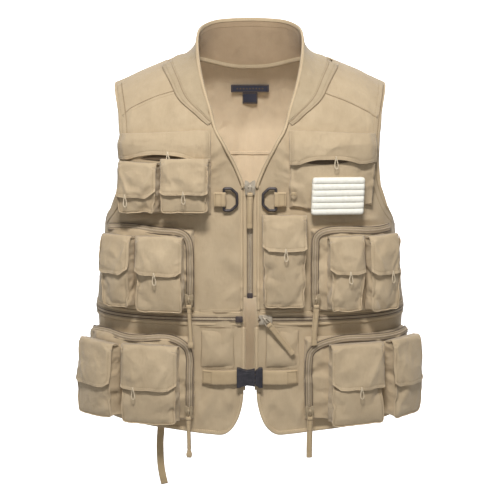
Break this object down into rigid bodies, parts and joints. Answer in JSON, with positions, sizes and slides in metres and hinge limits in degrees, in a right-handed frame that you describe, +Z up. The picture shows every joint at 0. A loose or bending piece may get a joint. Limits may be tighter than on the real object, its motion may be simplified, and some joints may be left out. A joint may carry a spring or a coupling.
{
  "type": "fishing vest",
  "caption": "Zip-front multi-pocket fishing vest with flap pouches, zipped compartments, D-rings, fly patch and a belt buckle, shaped as worn.",
  "frame": {"origin": "midway between the shoulders, level with the sides of the neck, on the wearer's shoulder line", "axes": "+Z up, the vest's front faces -Y, the wearer's left is +X"},
  "size_m": [0.5866, 0.294, 0.7714],
  "materials": {
    "khaki_cloth": "matt tight-woven khaki cotton and nylon cloth",
    "webbing": "ribbed khaki webbing",
    "zip_chain": "woven zip tape with moulded teeth",
    "slider_metal": "khaki enamelled metal",
    "ring_metal": "satin gunmetal",
    "buckle_nylon": "fine-grained black nylon",
    "patch_foam": "soft closed-cell foam",
    "label_cloth": "woven label, blank"
  },
  "bodies": {
    "vest": {"back_panel": "khaki_cloth", "lower_back_panel": "khaki_cloth", "right_front_panel": "khaki_cloth", "left_front_panel": "khaki_cloth", "collar": "khaki_cloth", "neck_label": "label_cloth", "right_chest_pocket": "khaki_cloth", "left_chest_pocket": "khaki_cloth", "right_side_pocket": "khaki_cloth", "left_side_pocket": "khaki_cloth", "right_lower_pocket": "khaki_cloth", "left_lower_pocket": "khaki_cloth", "right_chest_outer_pouch": "khaki_cloth", "right_chest_inner_pouch": "khaki_cloth", "left_front_pouch": "khaki_cloth", "right_side_outer_pouch": "khaki_cloth", "right_side_inner_pouch": "khaki_cloth", "left_side_inner_pouch": "khaki_cloth", "left_side_outer_pouch": "khaki_cloth", "right_lower_outer_pouch": "khaki_cloth", "right_lower_inner_pouch": "khaki_cloth", "left_lower_inner_pouch": "khaki_cloth", "left_lower_outer_pouch": "khaki_cloth", "fly_patch": "patch_foam", "front_zip": "zip_chain", "waist_zip": "zip_chain", "right_ring_tab": "webbing", "left_ring_tab": "webbing", "right_belt_strap": "webbing", "left_belt_strap": "webbing", "buckle_socket": "buckle_nylon", "strap_tail": "webbing"},
    "right_chest_flap_body": {"right_chest_flap": "khaki_cloth"},
    "left_chest_flap_body": {"left_chest_flap": "khaki_cloth"},
    "right_chest_outer_flap_body": {"right_chest_outer_flap": "khaki_cloth"},
    "right_chest_inner_flap_body": {"right_chest_inner_flap": "khaki_cloth"},
    "left_front_flap_body": {"left_front_flap": "khaki_cloth"},
    "right_side_outer_flap_body": {"right_side_outer_flap": "khaki_cloth"},
    "right_side_inner_flap_body": {"right_side_inner_flap": "khaki_cloth"},
    "left_side_inner_flap_body": {"left_side_inner_flap": "khaki_cloth"},
    "left_side_outer_flap_body": {"left_side_outer_flap": "khaki_cloth"},
    "right_lower_outer_flap_body": {"right_lower_outer_flap": "khaki_cloth"},
    "right_lower_inner_flap_body": {"right_lower_inner_flap": "khaki_cloth"},
    "left_lower_inner_flap_body": {"left_lower_inner_flap": "khaki_cloth"},
    "left_lower_outer_flap_body": {"left_lower_outer_flap": "khaki_cloth"},
    "front_zip_slider_body": {"front_zip_slider": "slider_metal"},
    "front_zip_pull_body": {"front_zip_pull": "webbing"},
    "right_side_zip_slider_body": {"right_side_zip_slider": "slider_metal"},
    "right_side_zip_pull_body": {"right_side_zip_pull": "webbing"},
    "left_side_zip_slider_body": {"left_side_zip_slider": "slider_metal"},
    "left_side_zip_pull_body": {"left_side_zip_pull": "webbing"},
    "right_lower_zip_slider_body": {"right_lower_zip_slider": "slider_metal"},
    "right_lower_zip_pull_body": {"right_lower_zip_pull": "webbing"},
    "left_lower_zip_slider_body": {"left_lower_zip_slider": "slider_metal"},
    "left_lower_zip_pull_body": {"left_lower_zip_pull": "webbing"},
    "waist_zip_slider_body": {"waist_zip_slider": "slider_metal"},
    "waist_zip_pull_body": {"waist_zip_pull": "webbing"},
    "right_d_ring_body": {"right_d_ring": "ring_metal"},
    "left_d_ring_body": {"left_d_ring": "ring_metal"},
    "buckle_plug_body": {"buckle_plug": "buckle_nylon"}
  },
  "joints": [
    {"name": "right_chest_flap_lift", "type": "hinge", "parent": "vest", "child": "right_chest_flap_body", "pos_m": [-0.13756, -0.10492, -0.13049], "axis": [-0.965, 0.2571, -0.0516], "range_deg": [0, 40]},
    {"name": "left_chest_flap_lift", "type": "hinge", "parent": "vest", "child": "left_chest_flap_body", "pos_m": [0.13306, -0.108, -0.13021], "axis": [-0.9712, -0.2326, 0.0513], "range_deg": [0, 40]},
    {"name": "right_chest_outer_flap_lift", "type": "hinge", "parent": "vest", "child": "right_chest_outer_flap_body", "pos_m": [-0.17586, -0.12062, -0.1768], "axis": [-0.9367, 0.3502, 0], "range_deg": [0, 70]},
    {"name": "right_chest_inner_flap_lift", "type": "hinge", "parent": "vest", "child": "right_chest_inner_flap_body", "pos_m": [-0.09986, -0.13764, -0.1698], "axis": [-0.9935, 0.1142, 0], "range_deg": [0, 70]},
    {"name": "left_front_flap_lift", "type": "hinge", "parent": "vest", "child": "left_front_flap_body", "pos_m": [0.05258, -0.13006, -0.2618], "axis": [0.9993, 0.0379, 0], "range_deg": [-40, 0]},
    {"name": "right_side_outer_flap_lift", "type": "hinge", "parent": "vest", "child": "right_side_outer_flap_body", "pos_m": [-0.21202, -0.10723, -0.2978], "axis": [-0.84, 0.5426, 0], "range_deg": [0, 80]},
    {"name": "right_side_inner_flap_lift", "type": "hinge", "parent": "vest", "child": "right_side_inner_flap_body", "pos_m": [-0.1415, -0.13481, -0.2958], "axis": [-0.976, 0.2177, 0], "range_deg": [0, 80]},
    {"name": "left_side_inner_flap_lift", "type": "hinge", "parent": "vest", "child": "left_side_inner_flap_body", "pos_m": [0.15218, -0.13224, -0.2958], "axis": [-0.9677, -0.2522, 0], "range_deg": [0, 80]},
    {"name": "left_side_outer_flap_lift", "type": "hinge", "parent": "vest", "child": "left_side_outer_flap_body", "pos_m": [0.21202, -0.10723, -0.2978], "axis": [-0.84, -0.5426, 0], "range_deg": [0, 80]},
    {"name": "right_lower_outer_flap_lift", "type": "hinge", "parent": "vest", "child": "right_lower_outer_flap_body", "pos_m": [-0.24684, -0.09421, -0.4788], "axis": [-0.7389, 0.6738, 0], "range_deg": [0, 80]},
    {"name": "right_lower_inner_flap_lift", "type": "hinge", "parent": "vest", "child": "right_lower_inner_flap_body", "pos_m": [-0.15735, -0.13625, -0.4758], "axis": [-0.9742, 0.2255, 0], "range_deg": [0, 80]},
    {"name": "left_lower_inner_flap_lift", "type": "hinge", "parent": "vest", "child": "left_lower_inner_flap_body", "pos_m": [0.16922, -0.13327, -0.4738], "axis": [-0.965, -0.2624, 0], "range_deg": [0, 80]},
    {"name": "left_lower_outer_flap_lift", "type": "hinge", "parent": "vest", "child": "left_lower_outer_flap_body", "pos_m": [0.25038, -0.09085, -0.4738], "axis": [-0.7109, -0.7033, 0], "range_deg": [0, 80]},
    {"name": "front_zip_slider_travel", "type": "slide", "parent": "vest", "child": "front_zip_slider_body", "axis": [0, 0, -1], "range_m": [0, 0.165]},
    {"name": "front_zip_pull_swing", "type": "hinge", "parent": "front_zip_slider_body", "child": "front_zip_pull_body", "pos_m": [0, -0.1343, -0.21525], "axis": [-1, 0, 0], "range_deg": [0, 100]},
    {"name": "right_side_zip_slider_travel", "type": "slide", "parent": "vest", "child": "right_side_zip_slider_body", "axis": [0, 0, 1], "range_m": [0, 0.1]},
    {"name": "right_side_zip_pull_swing", "type": "hinge", "parent": "right_side_zip_slider_body", "child": "right_side_zip_pull_body", "pos_m": [-0.09964, -0.14468, -0.39825], "axis": [-0.9951, 0.0991, 0], "range_deg": [0, 100]},
    {"name": "left_side_zip_slider_travel", "type": "slide", "parent": "vest", "child": "left_side_zip_slider_body", "axis": [0, 0, 1], "range_m": [0, 0.1]},
    {"name": "left_side_zip_pull_swing", "type": "hinge", "parent": "left_side_zip_slider_body", "child": "left_side_zip_pull_body", "pos_m": [0.10825, -0.14375, -0.39825], "axis": [-0.9934, -0.115, 0], "range_deg": [0, 100]},
    {"name": "right_lower_zip_slider_travel", "type": "slide", "parent": "vest", "child": "right_lower_zip_slider_body", "axis": [0, 0, 1], "range_m": [0, 0.085]},
    {"name": "right_lower_zip_pull_swing", "type": "hinge", "parent": "right_lower_zip_slider_body", "child": "right_lower_zip_pull_body", "pos_m": [-0.10164, -0.14763, -0.58625], "axis": [-0.9951, 0.0985, 0], "range_deg": [0, 100]},
    {"name": "left_lower_zip_slider_travel", "type": "slide", "parent": "vest", "child": "left_lower_zip_slider_body", "axis": [0, 0, 1], "range_m": [0, 0.085]},
    {"name": "left_lower_zip_pull_swing", "type": "hinge", "parent": "left_lower_zip_slider_body", "child": "left_lower_zip_pull_body", "pos_m": [0.09892, -0.14789, -0.58625], "axis": [-0.9956, -0.0939, 0], "range_deg": [0, 100]},
    {"name": "waist_zip_slider_travel", "type": "slide", "parent": "vest", "child": "waist_zip_slider_body", "axis": [1, 0.0092, 0], "range_m": [0, 0.012]},
    {"name": "waist_zip_pull_swing", "type": "hinge", "parent": "waist_zip_slider_body", "child": "waist_zip_pull_body", "pos_m": [0.02426, -0.13722, -0.43362], "axis": [-0.788, -0.0073, -0.6157], "range_deg": [0, 100]},
    {"name": "right_d_ring_swing", "type": "hinge", "parent": "vest", "child": "right_d_ring_body", "pos_m": [-0.042, -0.1314, -0.236], "axis": [0, 0, -1], "range_deg": [0, 100]},
    {"name": "left_d_ring_swing", "type": "hinge", "parent": "vest", "child": "left_d_ring_body", "pos_m": [0.042, -0.1314, -0.236], "axis": [0, 0, 1], "range_deg": [0, 100]},
    {"name": "buckle_release", "type": "slide", "parent": "vest", "child": "buckle_plug_body", "axis": [1, 0, 0], "range_m": [0, 0.025]}
  ]
}
